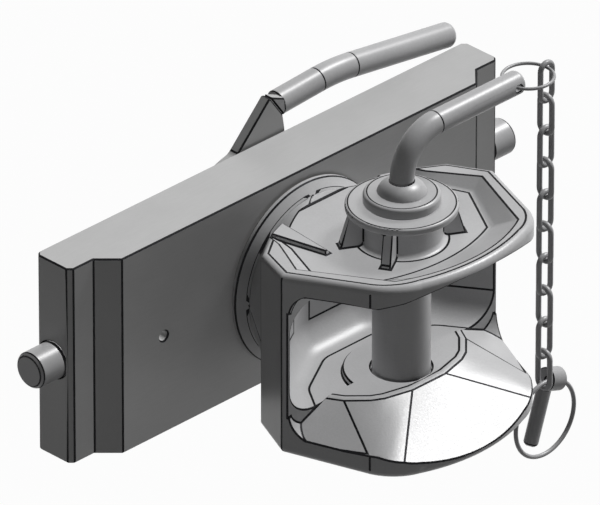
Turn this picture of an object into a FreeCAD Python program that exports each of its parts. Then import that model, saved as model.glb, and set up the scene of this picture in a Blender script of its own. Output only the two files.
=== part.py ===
import FreeCAD
import Part

import math
import os
import Sketcher

V = FreeCAD.Vector

# How near two places or radii lie to count as the same, in millimetres.
SAME = 0.01

# Driving sizes in millimetres and degrees, each with the word that names it in the sheet.
SIZES = [
    # Slide plate that drops between the two rails of the hitch ladder
    ("plate_length", 390.0),
    ("plate_height", 144.0),
    ("tongue_thickness", 32.0),
    ("tongue_length", 21.0),
    ("front_step", 13.0),
    ("plate_end_chamfer", 3.4),
    ("vent_offset", 124.0),
    ("vent_radius", 3.5),
    ("vent_depth", 18.0),
    # Locking pins in the plate's ends
    ("lock_pin_radius", 12.5),
    ("lock_pin_reach", 21.5),
    ("lock_pin_travel", 22.0),
    ("lock_head_length", 74.0),
    ("lock_shank_radius", 8.0),
    ("lock_shank_end", 8.0),
    ("lock_tip_chamfer", 2.0),
    ("stud_circle", 66.0),
    ("stud_radius", 5.0),
    ("stud_depth", 6.0),
    ("wiper_groove_start", 0.2),
    ("wiper_groove_width", 0.8),
    ("wiper_groove_depth", 0.6),
    ("spring_length", 50.0),
    ("spring_wire", 2.6),
    ("spring_turns", 6.0),
    # Running gaps, used wherever a round piece turns or slides in another
    ("running_gap", 0.05),
    ("press_gap", 0.02),
    ("face_gap", 0.3),
    # Journal of the jaw, its bush and the stack behind the plate
    ("journal_radius", 25.0),
    ("bush_wall", 4.0),
    ("sleeve_radius", 32.0),
    ("sleeve_length", 9.5),
    ("stub_radius", 18.0),
    ("thrust_washer_radius", 41.0),
    ("thrust_washer_thickness", 6.0),
    ("washer_chamfer", 1.0),
    ("nut_flats", 60.0),
    ("nut_hex_height", 17.0),
    ("nut_crown_height", 9.0),
    ("nut_crown_radius", 26.0),
    ("nut_slot_width", 6.5),
    ("stub_chamfer", 2.0),
    ("stub_reach", 3.0),
    ("cotter_radius", 2.8),
    ("cotter_set_back", 1.0),
    ("cotter_gap", 0.2),
    ("cotter_tail", 9.0),
    ("cotter_length", 68.0),
    # Release lever behind the plate
    ("rotor_radius", 70.0),
    ("rotor_thickness", 8.0),
    ("rotor_gap", 0.7),
    ("rotor_slot_gap", 0.45),
    ("rotor_ear_wall", 6.6),
    ("lever_lift", 45.0),
    ("lever_rod_radius", 8.5),
    ("lever_rod_depth", 25.5),
    ("arm_foot_x", 32.0),
    ("arm_foot_z", 50.0),
    ("arm_side_z", 71.5),
    ("arm_notch_x", 29.6),
    ("arm_notch_z", 82.9),
    ("arm_tip_x", 17.5),
    ("arm_tip_z", 100.0),
    ("arm_root_fillet", 9.0),
    ("weld_gap", 0.25),
    ("weld_inset", 1.6),
    ("lever_rod_bend", 150.0),
    ("lever_rod_nose", 4.0),
    ("lever_root_x", 31.5),
    ("lever_root_z", 87.4),
    ("lever_crank_x", 84.0),
    ("lever_crank_z", 90.7),
    ("lever_end_x", 191.0),
    ("lever_end_z", 75.3),
    # Jaw casting
    ("friction_washer_thickness", 0.9),
    ("flange_radius", 65.0),
    ("flange_rim", 4.0),
    ("flange_cone_radius", 58.0),
    ("flange_thickness", 10.0),
    ("jaw_rear_half_width", 64.0),
    ("jaw_rear_y", -62.5),
    ("jaw_hip_x", 84.6),
    ("jaw_hip_y", -77.0),
    ("jaw_shoulder_x", 97.0),
    ("jaw_shoulder_y", -108.0),
    ("jaw_corner_x", 73.0),
    ("jaw_corner_y", -164.0),
    ("jaw_nose_x", 47.0),
    ("jaw_nose_y", -185.0),
    ("jaw_corner_arc", 42.0),
    ("jaw_nose_arc", 134.0),
    ("jaw_half_height", 66.0),
    ("jaw_flare", 0.068),
    ("jaw_edge_fillet", 5.0),
    ("recess_floor", 59.0),
    ("recess_fillet", 6.0),
    ("recess_nose_x", 50.0),
    ("recess_nose_y", -150.0),
    ("recess_nose_arc", 124.0),
    ("recess_shoulder_x", 74.0),
    ("recess_shoulder_y", -110.0),
    ("recess_hip_x", 62.0),
    ("recess_hip_y", -80.0),
    ("recess_root_x", 57.0),
    ("recess_root_y", -49.0),
    ("brim_rise", 8.0),
    ("brim_nose_x", 58.0),
    ("brim_nose_y", -176.0),
    ("brim_nose_arc", 127.0),
    ("brim_shoulder_x", 96.0),
    ("brim_shoulder_y", -108.0),
    ("brim_hip_x", 76.0),
    ("brim_hip_y", -66.0),
    ("brim_root_x", 68.0),
    ("neck_corner", 34.0),
    ("neck_overlap", 2.0),
    # Mouth of the jaw: the level pads, the slopes round them and the hollow behind the pin
    ("pad_height", 36.0),
    ("pad_radius", 38.0),
    ("pad_nose_y", -143.0),
    ("pad_corner_x", 37.0),
    ("pad_corner_y", -136.6),
    ("pad_corner_turn", 62.0),
    ("pad_side_x", 55.0),
    ("pad_side_y", -120.5),
    ("pad_side_turn", 29.0),
    ("ridge_inset", 2.5),
    ("ledge_height", 40.0),
    ("mouth_overlap", 4.0),
    ("cavity_fillet", 19.0),
    ("cavity_mouth_x", 93.0),
    ("cavity_side_x", 71.0),
    ("cavity_side_y", -79.0),
    ("cavity_back_x", 28.0),
    ("cavity_back_y", -54.0),
    ("cavity_corner", 38.0),
    ("nose_slope", 0.60),
    ("corner_slope", 0.42),
    ("side_slope", 0.52),
    ("window_start", 5.5),
    ("window_corner", 18.0),
    # Collar cast on top of the jaw round the coupling pin
    ("pin_axis_y", -120.0),
    ("collar_radius", 26.4),
    ("collar_disc_radius", 36.7),
    ("collar_stand", 19.7),
    ("collar_disc_thickness", 5.0),
    ("collar_disc_fillet", 1.6),
    ("collar_foot_fillet", 4.0),
    ("gusset_thickness", 7.0),
    ("gusset_foot", 42.5),
    ("gusset_toe_length", 1.5),
    ("gusset_toe_height", 4.5),
    ("gusset_angle", 30.0),
    ("floor_overlap", 2.0),
    ("lower_boss_radius", 30.0),
    ("lower_boss_stand", 9.0),
    # Low tapered ribs on the recess floor
    ("rib_height", 2.6),
    ("rib_slant", 3.0),
    ("rib_inner_x", 40.0),
    ("rib_inner_y", -53.0),
    ("rib_outer_x", 61.0),
    ("rib_outer_y", -60.0),
    ("rib_tip_x", 48.0),
    ("rib_tip_y", -103.0),
    ("rib_tip_width", 6.0),
    # Coupling pin, its cap and its bent handle
    ("coupling_pin_radius", 19.0),
    ("coupling_pin_bottom", -100.0),
    ("pin_bush_wall", 3.5),
    ("pin_bush_recess", 4.0),
    ("pin_bore_gap", 0.8),
    ("cap_radius", 25.15),
    ("cap_thickness", 7.5),
    ("cap_fillet", 2.5),
    ("pin_tip_chamfer", 3.0),
    ("dome_radius", 16.4),
    ("dome_rise", 8.0),
    ("dome_shoulder_radius", 13.7),
    ("dome_shoulder_rise", 4.64),
    ("handle_radius", 8.0),
    ("handle_height", 132.0),
    ("handle_bend", 30.0),
    ("handle_nose", 3.0),
    ("handle_reach", 106.0),
    ("handle_hole_x", 99.0),
    ("handle_hole_radius", 2.6),
    ("linch_hole_z", -86.0),
    # Wire ring, chain, linch pin and its ring
    ("wire_ring_radius", 16.8),
    ("wire_ring_wire", 1.15),
    ("ring_start_x", 98.0),
    ("chain_wire", 1.9),
    ("chain_links", 10.0),
    ("chain_pitch", 23.8),
    ("chain_bow", 5.3),
    ("chain_play", 0.15),
    ("linch_ring_radius", 27.0),
    ("linch_ring_wire", 1.5),
    ("linch_radius", 5.0),
    ("linch_length", 45.0),
    ("linch_lean", 18.4),
    ("linch_root", 3.0),
    ("linch_chamfer", 1.5),
    ("linch_ring_shift", 1.3),
    ("linch_head_angle", 71.0),
    ("linch_hole_offset", 2.5),
    ("linch_head_radius", 8.0),
    ("linch_head_length", 13.5),
    ("linch_hole_radius", 2.5),
]


class Size:
    """A length that knows its number and the sheet expression that gives it."""

    def __init__(self, value, text):
        self.value = value
        self.text = text

    def mixed(self, other, sign, value):
        word = other.text if isinstance(other, Size) else repr(float(other))
        return Size(value, "({} {} {})".format(self.text, sign, word))

    def __add__(self, other):
        return self.mixed(other, "+", self.value + number(other))

    def __sub__(self, other):
        return self.mixed(other, "-", self.value - number(other))

    def __mul__(self, other):
        return self.mixed(other, "*", self.value * number(other))

    def __truediv__(self, other):
        return self.mixed(other, "/", self.value / number(other))

    def __neg__(self):
        return Size(-self.value, "(0 - {})".format(self.text))


def number(quantity):
    """The plain number of a size or of a number."""
    return quantity.value if isinstance(quantity, Size) else float(quantity)


class Sheet:
    """The spreadsheet of driving sizes, read as sheet.word."""

    def __init__(self, doc):
        cells = doc.addObject("Spreadsheet::Sheet", "Sizes")
        for row, (word, value) in enumerate(SIZES, start=1):
            cells.set("A{}".format(row), word.replace("_", " "))
            cells.set("B{}".format(row), str(value))
            cells.setAlias("B{}".format(row), word)
        doc.recompute()
        for word, value in SIZES:
            setattr(self, word, Size(float(getattr(cells, word)), "Sizes." + word))


doc = FreeCAD.newDocument("ClevisHead")
s = Sheet(doc)
made = []


def bind(feature, prop, size):
    """Sets a property from a size, through the sheet."""
    setattr(feature, prop, number(size))
    if isinstance(size, Size):
        feature.setExpression(prop, size.text)


def named(feature, label):
    """Lists a finished sub-part under its own label."""
    feature.Label = label
    made.append(feature)
    return feature


def new_body(label):
    """An empty body for one sub-part."""
    return named(doc.addObject("PartDesign::Body", label.title().replace("_", "")), label)


def sketch_on(body, role, shift=None, rotation=None):
    """A sketch on one of the body's own origin planes, shifted along its normal or turned about it."""
    plane = next(f for f in body.Origin.OriginFeatures if f.Role == role)
    sketch = body.newObject("Sketcher::SketchObject", "Sketch")
    sketch.AttachmentSupport = [(plane, "")]
    sketch.MapMode = "FlatFace"
    sketch.AttachmentOffset = FreeCAD.Placement(
        V(0, 0, number(shift or 0)), rotation or FreeCAD.Rotation())
    if isinstance(shift, Size):
        sketch.setExpression(".AttachmentOffset.Base.z", shift.text)
    return sketch


def hold(sketch, curve, end, place):
    """Holds one end of a curve at a place given by two sizes."""
    axes = (("DistanceX", place[0], -2), ("DistanceY", place[1], -1))
    for kind, size, axis in axes:
        if abs(number(size)) < 1e-9:
            sketch.addConstraint(Sketcher.Constraint("PointOnObject", curve, end, axis))
            continue
        index = sketch.addConstraint(Sketcher.Constraint(kind, -1, 1, curve, end, number(size)))
        if isinstance(size, Size):
            sketch.setExpression("Constraints[{}]".format(index), size.text)


def arc_between(start, end, radius):
    """The short arc of a radius from start to end, bulging to the right of the way."""
    chord = end - start
    normal = V(chord.y, -chord.x, 0).normalize()
    half = chord.Length / 2
    sagitta = radius - math.sqrt(radius**2 - half**2)
    return Part.Arc(start, (start + end) / 2 + normal * sagitta, end)


def plan_wire(places, height):
    """A closed level outline. Each place is (x, y), or (x, y, radius) when an arc leaves it."""
    points = [V(number(p[0]), number(p[1]), number(height)) for p in places]
    edges = []
    for i, place in enumerate(places):
        start, end = points[i], points[(i + 1) % len(points)]
        if len(place) > 2:
            edges.append(arc_between(start, end, number(place[2])).toShape())
        else:
            edges.append(Part.LineSegment(start, end).toShape())
    return Part.Wire(edges)


def prism(places, low, high):
    """A level outline raised from one height to another."""
    rise = V(0, 0, number(high) - number(low))
    return Part.Face(plan_wire(places, low)).extrude(rise)


def solid_part(label, shape, base=None, rotation=None):
    """A sub-part whose shape is worked out here from the sizes."""
    item = named(doc.addObject("Part::Feature", label.title().replace("_", "")), label)
    own_place = shape.Placement
    item.Shape = shape
    item.Placement = own_place if base is None else FreeCAD.Placement(base, rotation)
    return item


def join_ends(sketch):
    """Ties each curve's ends to the neighbour's end that lies on the same point."""
    count = sketch.GeometryCount
    for i in range(count):
        after = (i + 1) % count
        for end in (1, 2):
            for start in (1, 2):
                if (sketch.getPoint(i, end) - sketch.getPoint(after, start)).Length < 1e-6:
                    sketch.addConstraint(Sketcher.Constraint("Coincident", i, end, after, start))


def polygon(sketch, places):
    """A closed outline of straight lines with every corner held by sizes."""
    points = [V(number(x), number(y), 0) for x, y in places]
    count = len(points)
    for i in range(count):
        sketch.addGeometry(Part.LineSegment(points[i], points[(i + 1) % count]))
    join_ends(sketch)
    for i in range(count):
        hold(sketch, i, 1, places[i])
    return sketch


def circle(sketch, x, y, radius):
    """A circle held by its centre and radius."""
    index = sketch.addGeometry(Part.Circle(V(number(x), number(y), 0), V(0, 0, 1), number(radius)))
    hold(sketch, index, 3, (x, y))
    rule = sketch.addConstraint(Sketcher.Constraint("Radius", index, number(radius)))
    if isinstance(radius, Size):
        sketch.setExpression("Constraints[{}]".format(rule), radius.text)
    return sketch


def feature(body, kind, sketch, length, symmetric=False, reverse=False):
    """A pad or pocket of a sketch."""
    item = body.newObject("PartDesign::" + kind, kind)
    item.Profile = sketch
    bind(item, "Length", length)
    if symmetric:
        item.SideType = "Symmetric"
    item.Reversed = reverse
    sketch.Visibility = False
    doc.recompute()
    return item


def turned(body, kind, sketch, axis):
    """A full revolution or groove of a sketch about one of its own axes."""
    item = body.newObject("PartDesign::" + kind, kind)
    item.Profile = sketch
    item.ReferenceAxis = (sketch, [axis])
    item.Angle = 360.0
    doc.recompute()
    return item


def edges_where(shape, wanted):
    """The names of the edges that a test picks."""
    return ["Edge{}".format(i) for i, e in enumerate(shape.Edges, start=1) if wanted(e)]


def dressed(body, kind, base, wanted, size):
    """A fillet or chamfer on the edges of base that a test picks."""
    names = edges_where(base.Shape, wanted)
    if not names:
        raise ValueError("no edge found for the {} of {}".format(kind, body.Label))
    item = body.newObject("PartDesign::" + kind, kind)
    item.Base = (base, names)
    bind(item, "Radius" if kind == "Fillet" else "Size", size)
    doc.recompute()
    return item


def round_at(edge, radius):
    """Is this edge a circle of the given radius?"""
    return isinstance(edge.Curve, Part.Circle) and abs(edge.Curve.Radius - radius) < SAME


def direction(edge):
    """The unit direction of a straight edge, else None."""
    if not isinstance(edge.Curve, Part.Line):
        return None
    return (edge.Vertexes[-1].Point - edge.Vertexes[0].Point).normalize()


def slide_plate():
    """The plate: stepped tongues at both ends, locking-pin bores along it and the journal bore through it."""
    body = new_body("slide_plate")
    half = s.plate_length / 2
    back = s.tongue_thickness / 2
    front = -back - s.front_step
    shoulder = half - s.tongue_length
    face = shoulder - s.front_step
    right = [(half, back), (half, -back), (shoulder, -back), (face, front)]
    left = [(-x, y) for x, y in reversed(right)]
    plan = polygon(sketch_on(body, "XY_Plane"), right + left)
    pad = feature(body, "Pad", plan, s.plate_height, symmetric=True)
    dressed(
        body, "Chamfer", pad,
        lambda e: direction(e) and abs(direction(e).z) > 0.9
        and abs(abs(e.Vertexes[0].Point.x) - number(half)) < SAME,
        s.plate_end_chamfer)
    bore = circle(sketch_on(body, "XZ_Plane"), 0, 0, s.journal_radius + s.bush_wall + s.press_gap)
    feature(body, "Pocket", bore, s.plate_length, symmetric=True)
    seat = s.plate_length / 2 + s.lock_pin_reach - s.lock_head_length - s.spring_length
    inner = s.stud_circle - s.lock_pin_travel - s.lock_shank_end - s.face_gap * 5
    for side in (1, -1):
        steps = (
            (s.lock_pin_radius + s.running_gap, seat),
            (s.lock_shank_radius + s.running_gap, inner),
        )
        for radius, start in steps:
            mouth = circle(sketch_on(body, "YZ_Plane", start * side), 0, 0, radius)
            feature(body, "Pocket", mouth, s.plate_length, reverse=side > 0)
        slot = s.stud_radius + s.running_gap * 12
        low = s.stud_circle - s.lock_pin_travel - slot
        high = s.stud_circle + slot
        window = polygon(
            sketch_on(body, "XZ_Plane"),
            [(low * side, -slot), (high * side, -slot), (high * side, slot), (low * side, slot)])
        feature(body, "Pocket", window, s.tongue_thickness)
        vent = circle(sketch_on(body, "XZ_Plane", -front), s.vent_offset * side, 0, s.vent_radius)
        feature(body, "Pocket", vent, s.vent_depth)


def revolved(label, role, axis, places, shift=None):
    """A turned piece: a closed half-outline spun about a sketch axis."""
    body = new_body(label)
    sketch = polygon(sketch_on(body, role, shift), places)
    turned(body, "Revolution", sketch, axis)
    return body


def lock_pin(side, name):
    """A locking pin: a round head that stands out of the tongue, a narrow groove at its root, and a shank.

    The groove is a guess; no wiper sits in it, and the photograph shows the pin plain."""
    tip = (s.plate_length / 2 + s.lock_pin_reach) * side
    neck = (s.plate_length / 2 + s.lock_pin_reach - s.lock_head_length) * side
    tail = (s.stud_circle - s.lock_shank_end) * side
    places = [(tail, 0), (tip, 0), (tip, s.lock_pin_radius), (neck, s.lock_pin_radius),
              (neck, s.lock_shank_radius), (tail, s.lock_shank_radius)]
    body = revolved(name, "XY_Plane", "H_Axis", places)
    dressed(body, "Chamfer", body.Tip,
            lambda e: round_at(e, number(s.lock_pin_radius))
            and abs(e.CenterOfMass.x - number(tip)) < SAME, s.lock_tip_chamfer)
    hole = circle(sketch_on(body, "XZ_Plane"), s.stud_circle * side, 0, s.stud_radius + s.press_gap)
    feature(body, "Pocket", hole, s.lock_pin_radius * 3, symmetric=True)
    near = (s.plate_length / 2 + s.wiper_groove_start) * side
    far = (s.plate_length / 2 + s.wiper_groove_start + s.wiper_groove_width) * side
    over = s.lock_pin_radius + s.wiper_groove_width
    floor = s.lock_pin_radius - s.wiper_groove_depth
    ring = polygon(sketch_on(body, "XY_Plane"), [(near, floor), (far, floor), (far, over), (near, over)])
    turned(body, "Groove", ring, "H_Axis")


def lock_stud(side, name):
    """The stud that joins a locking pin's shank to the rotor's curved slot."""
    body = new_body(name)
    end = s.tongue_thickness / 2 + s.rotor_gap + s.rotor_thickness + s.face_gap
    start = -s.stud_depth
    sketch = circle(sketch_on(body, "XZ_Plane", -end), s.stud_circle * side, 0, s.stud_radius)
    feature(body, "Pad", sketch, end - start)


def lock_spring(side, name):
    """The coil spring in the ring-shaped space behind a pin's head, of flat wire as heavy springs are."""
    wire = number(s.spring_wire)
    start = number(s.plate_length / 2 + s.lock_pin_reach - s.lock_head_length - s.spring_length)
    gap = number(s.face_gap)
    mean = (number(s.lock_pin_radius) + number(s.lock_shank_radius)) / 2
    length = number(s.spring_length) - 2 * gap - wire
    turns = number(s.spring_turns)
    helix = Part.makeHelix(length / turns, length, mean)
    half = wire / 2
    corners = [V(mean - half, 0, -half), V(mean + half, 0, -half), V(mean + half, 0, half),
               V(mean - half, 0, half)]
    section = Part.makePolygon(corners + corners[:1])
    coil = Part.Wire(helix).makePipeShell([section], True, True)
    solid_part(name, coil, V(side * (start + gap + half), 0, 0), FreeCAD.Rotation(V(0, 1, 0), 90 * side))


def rotor_plate():
    """The lever's rotor: a disc with two curved slots that drive the studs, and the arm over the plate."""
    body = new_body("rotor_plate")
    front = s.tongue_thickness / 2 + s.rotor_gap
    place = -front
    disc = circle(sketch_on(body, "XZ_Plane", place), 0, 0, s.rotor_radius)
    feature(body, "Pad", disc, s.rotor_thickness, reverse=True)
    for side in (1, -1):
        ear = circle(sketch_on(body, "XZ_Plane", place), s.stud_circle * side, 0,
                     s.stud_radius + s.rotor_ear_wall)
        feature(body, "Pad", ear, s.rotor_thickness, reverse=True)
    arm = sketch_on(body, "XZ_Plane", place)
    polygon(arm, [(-s.arm_foot_x, s.arm_foot_z), (s.lever_root_x, s.arm_foot_z),
                  (s.lever_root_x, s.arm_side_z), (s.arm_notch_x, s.arm_notch_z),
                  (s.arm_tip_x, s.arm_tip_z)])
    arm_pad = feature(body, "Pad", arm, s.rotor_thickness, reverse=True)
    dressed(body, "Fillet", arm_pad, at_arm_root, s.arm_root_fillet)
    bore = circle(sketch_on(body, "XZ_Plane"), 0, 0, s.sleeve_radius + s.running_gap)
    feature(body, "Pocket", bore, s.plate_length, symmetric=True)
    for side in (1, -1):
        slot = sketch_on(body, "XZ_Plane")
        for curve in slot_outline(side):
            slot.addGeometry(curve)
        join_ends(slot)
        feature(body, "Pocket", slot, s.plate_length, symmetric=True)


def at_arm_root(edge):
    """Is this one of the two corners where the arm leaves the disc?"""
    way = direction(edge)
    if way is None or abs(way.y) < 0.9:
        return False
    place = edge.Vertexes[0].Point
    from_centre = math.hypot(place.x, place.z)
    return place.z > 0 and abs(from_centre - number(s.rotor_radius)) < number(s.face_gap)


def slot_outline(side):
    """Four arcs round the path that a stud takes in the rotor while the lever lifts."""
    travel = number(s.lock_pin_travel)
    outer = number(s.stud_circle)
    width = number(s.stud_radius + s.rotor_slot_gap)
    path = []
    for share in (0.0, 0.5, 1.0):
        angle = math.radians(-number(s.lever_lift) * share)
        radius = outer - travel * share
        path.append(V(math.cos(angle), math.sin(angle), 0) * radius * side)
    middle_line = Part.Circle(*path)
    centre, middle_radius = middle_line.Center, middle_line.Radius
    out = [(p - centre).normalize() for p in path]
    inner = [centre + way * (middle_radius - width) for way in out]
    rim = [centre + way * (middle_radius + width) for way in out]
    turn = (path[1] - path[0]).cross(path[2] - path[1]).z
    ways = [V(-way.y, way.x, 0) * (1 if turn > 0 else -1) for way in out]
    first_cap = path[0] - ways[0] * width
    last_cap = path[2] + ways[2] * width
    return [
        Part.Arc(inner[0], inner[1], inner[2]),
        Part.Arc(inner[2], last_cap, rim[2]),
        Part.Arc(rim[2], rim[1], rim[0]),
        Part.Arc(rim[0], first_cap, inner[0]),
    ]


def bent_path(points, bend):
    """Straight runs joined by one tangent arc of a given radius at each inner point."""
    edges = []
    start = points[0]
    for before, corner, after in zip(points, points[1:], points[2:]):
        into = (corner - before).normalize()
        out = (after - corner).normalize()
        turn = into.getAngle(out)
        trim = bend * math.tan(turn / 2)
        first = corner - into * trim
        last = corner + out * trim
        inward = (out - into).normalize()
        middle = corner + inward * (bend / math.cos(turn / 2) - bend)
        edges.append(Part.LineSegment(start, first).toShape())
        edges.append(Part.Arc(first, middle, last).toShape())
        start = last
    edges.append(Part.LineSegment(start, points[-1]).toShape())
    return Part.Wire(edges)


def rod(points, bend, radius, nose):
    """A round rod along a bent path, with its far end rounded over."""
    way = (points[1] - points[0]).normalize()
    section = Part.Wire(Part.Circle(points[0], way, radius).toShape())
    bar = bent_path(points, bend).makePipeShell([section], True, False)
    tip = points[-1]
    end = [e for e in bar.Edges if round_at(e, radius) and (e.Curve.Center - tip).Length < SAME]
    return bar.makeFillet(nose, end)


def hand_rod():
    """The lever's round rod along its bent path."""
    depth, bend, radius = numbers(s.lever_rod_depth, s.lever_rod_bend, s.lever_rod_radius)
    root = V(number(s.lever_root_x), depth, number(s.lever_root_z))
    crank = V(number(s.lever_crank_x), depth, number(s.lever_crank_z))
    end = V(number(s.lever_end_x), depth, number(s.lever_end_z))
    return rod([root, crank, end], bend, radius, number(s.lever_rod_nose))


def lever_handle():
    """The round hand rod, butt-welded to the end of the rotor's arm."""
    solid_part("lever_handle", hand_rod())


def lever_weld():
    """The weld bead in the notch between the arm's end and the rod."""
    front = number(s.tongue_thickness) / 2 + number(s.rotor_gap)
    tip = V(number(s.arm_tip_x), front, number(s.arm_tip_z))
    notch = V(number(s.arm_notch_x), front, number(s.arm_notch_z))
    way = (notch - tip).normalize()
    clear = V(-way.z, 0, way.x) * number(s.weld_gap)
    root = V(number(s.lever_root_x), front, number(s.lever_root_z))
    reach = V(0, 0, number(s.lever_rod_radius - s.weld_inset))
    bead = closed_face([tip + clear, notch + clear, root - reach, root + reach])
    bead = bead.extrude(V(0, number(s.rotor_thickness), 0))
    solid_part("lever_weld", bead.cut(hand_rod()))


def journal_stack():
    """What turns on or holds the jaw's journal: the plate's bush, the rotor's sleeve, washer and nut."""
    back = s.tongue_thickness / 2
    front = -back - s.front_step
    bore = s.journal_radius + s.running_gap
    outer = s.journal_radius + s.bush_wall
    revolved("journal_bush", "XY_Plane", "V_Axis",
             [(bore, front), (outer, front), (outer, back), (bore, back)])
    sleeve_end = back + s.sleeve_length
    revolved("rotor_sleeve", "XY_Plane", "V_Axis",
             [(bore, back), (s.sleeve_radius, back), (s.sleeve_radius, sleeve_end), (bore, sleeve_end)])
    seat = sleeve_end + s.face_gap
    stub = s.stub_radius + s.running_gap
    washer_back = seat + s.thrust_washer_thickness
    washer = revolved("thrust_washer", "XY_Plane", "V_Axis",
                      [(stub, seat), (s.thrust_washer_radius, seat),
                       (s.thrust_washer_radius, washer_back), (stub, washer_back)])
    dressed(washer, "Chamfer", washer.Tip,
            lambda e: round_at(e, number(s.thrust_washer_radius)), s.washer_chamfer)
    castle_nut(washer_back)
    rim = s.flange_radius - s.flange_rim
    washer_front = front - s.friction_washer_thickness
    revolved("friction_washer", "XY_Plane", "V_Axis",
             [(outer, front), (rim, front), (rim, washer_front), (outer, washer_front)])


def castle_nut(seat):
    """The nut that clamps the washer against the journal's shoulder, its crown slotted for the cotter pin."""
    body = new_body("castle_nut")
    corner = number(s.nut_flats) / math.sqrt(3)
    hexagon = sketch_on(body, "XZ_Plane", -seat)
    corners = [V(corner * math.cos(math.radians(60 * k)), corner * math.sin(math.radians(60 * k)), 0)
               for k in range(6)]
    for k in range(6):
        hexagon.addGeometry(Part.LineSegment(corners[k], corners[(k + 1) % 6]))
    join_ends(hexagon)
    feature(body, "Pad", hexagon, s.nut_hex_height, reverse=True)
    crown = circle(sketch_on(body, "XZ_Plane", -(seat + s.nut_hex_height)), 0, 0, s.nut_crown_radius)
    feature(body, "Pad", crown, s.nut_crown_height, reverse=True)
    bore = circle(sketch_on(body, "XZ_Plane"), 0, 0, s.stub_radius + s.press_gap)
    feature(body, "Pocket", bore, s.plate_length, symmetric=True)
    half = s.nut_slot_width / 2
    reach = s.nut_flats
    for turn in (0, 60, 120):
        slot = sketch_on(body, "XZ_Plane", -(seat + s.nut_hex_height), turn_in_plane(turn))
        polygon(slot, [(-reach, -half), (reach, -half), (reach, half), (-reach, half)])
        feature(body, "Pocket", slot, s.nut_crown_height * 2)


def turn_in_plane(degrees):
    """A rotation about a sketch's own normal."""
    return FreeCAD.Rotation(V(0, 0, 1), degrees)


def cotter_depth():
    """How far behind the plate's middle the cotter pin crosses the stub."""
    washer = s.tongue_thickness / 2 + s.sleeve_length + s.face_gap
    crown = washer + s.thrust_washer_thickness + s.nut_hex_height
    return number(crown + s.nut_crown_height / 2 + s.cotter_set_back)


def cotter_pin():
    """The split pin through the nut's slots and the stub: an eye and two legs, spread at their ends."""
    depth = cotter_depth()
    radius, half = number(s.cotter_radius), number(s.cotter_length) / 2
    leg = Part.makeCylinder(radius, 2 * half, V(-half, depth, 0), V(1, 0, 0))
    eye = Part.makeTorus(radius * 1.8, radius * 0.55, V(half + radius, depth, 0), V(0, 1, 0))
    start = V(radius / 3 - half, depth, 0)
    tails = [Part.makeCylinder(radius * 0.6, number(s.cotter_tail), start, V(-0.6, 0, side * 0.8))
             for side in (1, -1)]
    solid_part("cotter_pin", leg.fuse([eye] + tails).removeSplitter())


def mirrored(places):
    """The right half of a plan, from front to back, with its left half added."""
    left = []
    for k in range(len(places) - 1, -1, -1):
        x, y = places[k][:2]
        arc = places[k - 1][2:] if k > 0 else ()
        left.append((-x, y) + tuple(arc))
    return places + left


def numbers(*sizes):
    """The plain numbers of several sizes."""
    return tuple(number(size) for size in sizes)


def closed_face(points):
    """A flat face inside straight runs from point to point."""
    return Part.Face(Part.makePolygon(points + points[:1]))


def collar_top():
    """The height of the collar's seat for the cap of the coupling pin."""
    return s.jaw_half_height + s.collar_stand


def lower_boss_bottom():
    """The height of the boss under the jaw."""
    return -(s.jaw_half_height + s.lower_boss_stand)


def window_line():
    """How far back the mouth's side windows reach."""
    return number(s.jaw_shoulder_y) - number(s.mouth_overlap)


def wedge(x, y, turn, slope):
    """The room beyond one edge of the pad, which opens from that edge outwards by a slope, up and down."""
    height = number(s.pad_height)
    far = number(s.plate_length) / 2
    rise = height + far * slope
    section = closed_face([V(0, 0, -height), V(far, 0, -rise), V(far, 0, rise), V(0, 0, height)])
    room = section.extrude(V(0, 2 * far, 0))
    room.translate(V(0, -far, 0))
    room.rotate(V(0, 0, 0), V(0, 0, 1), turn)
    room.translate(V(x, y, 0))
    return room


def jaw_block():
    """The outside of the jaw: its plan, cut above and below by the two flared faces, with rounded rims."""
    rear_x, rear_y = numbers(s.jaw_rear_half_width, s.jaw_rear_y)
    plan = mirrored([
        numbers(s.jaw_nose_x, s.jaw_nose_y, s.jaw_corner_arc),
        numbers(s.jaw_corner_x, s.jaw_corner_y),
        numbers(s.jaw_shoulder_x, s.jaw_shoulder_y),
        numbers(s.jaw_hip_x, s.jaw_hip_y),
        (rear_x, rear_y),
    ])
    plan[-1] = plan[-1][:2] + (number(s.jaw_nose_arc),)
    height, shoulder, far = numbers(s.jaw_half_height, s.jaw_shoulder_y, s.plate_length)
    block = prism(plan, -2 * height, 2 * height)
    rise = number(s.jaw_flare) * far
    front, back = shoulder - far, shoulder + far
    sheath = closed_face([V(-far, front, height + rise), V(-far, back, height - rise),
                          V(-far, back, rise - height), V(-far, front, -height - rise)])
    block = block.common(sheath.extrude(V(2 * far, 0, 0)))
    lowest_rim = height - number(s.jaw_edge_fillet)
    rims = [e for e in block.Edges if e.CenterOfMass.y < rear_y - 0.1 and abs(e.CenterOfMass.z) > lowest_rim]
    return block.makeFillet(number(s.jaw_edge_fillet), rims)


def level_section(half_width, half_height, corner, depth):
    """A rounded rectangle across the jaw's long axis, as one wire of four lines and four arcs."""
    arcs = []
    for k, (sx, sz) in enumerate(((1, 1), (-1, 1), (-1, -1), (1, -1))):
        centre = V(sx * (half_width - corner), depth, sz * (half_height - corner))
        angles = [math.radians(90 * k + turn) for turn in (0, 45, 90)]
        arcs.append([centre + V(math.cos(a), 0, math.sin(a)) * corner for a in angles])
    joined = []
    for arc, after in zip(arcs, arcs[1:] + arcs[:1]):
        joined.append(Part.Arc(*arc).toShape())
        joined.append(Part.LineSegment(arc[2], after[0]).toShape())
    return Part.Wire(joined)


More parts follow.
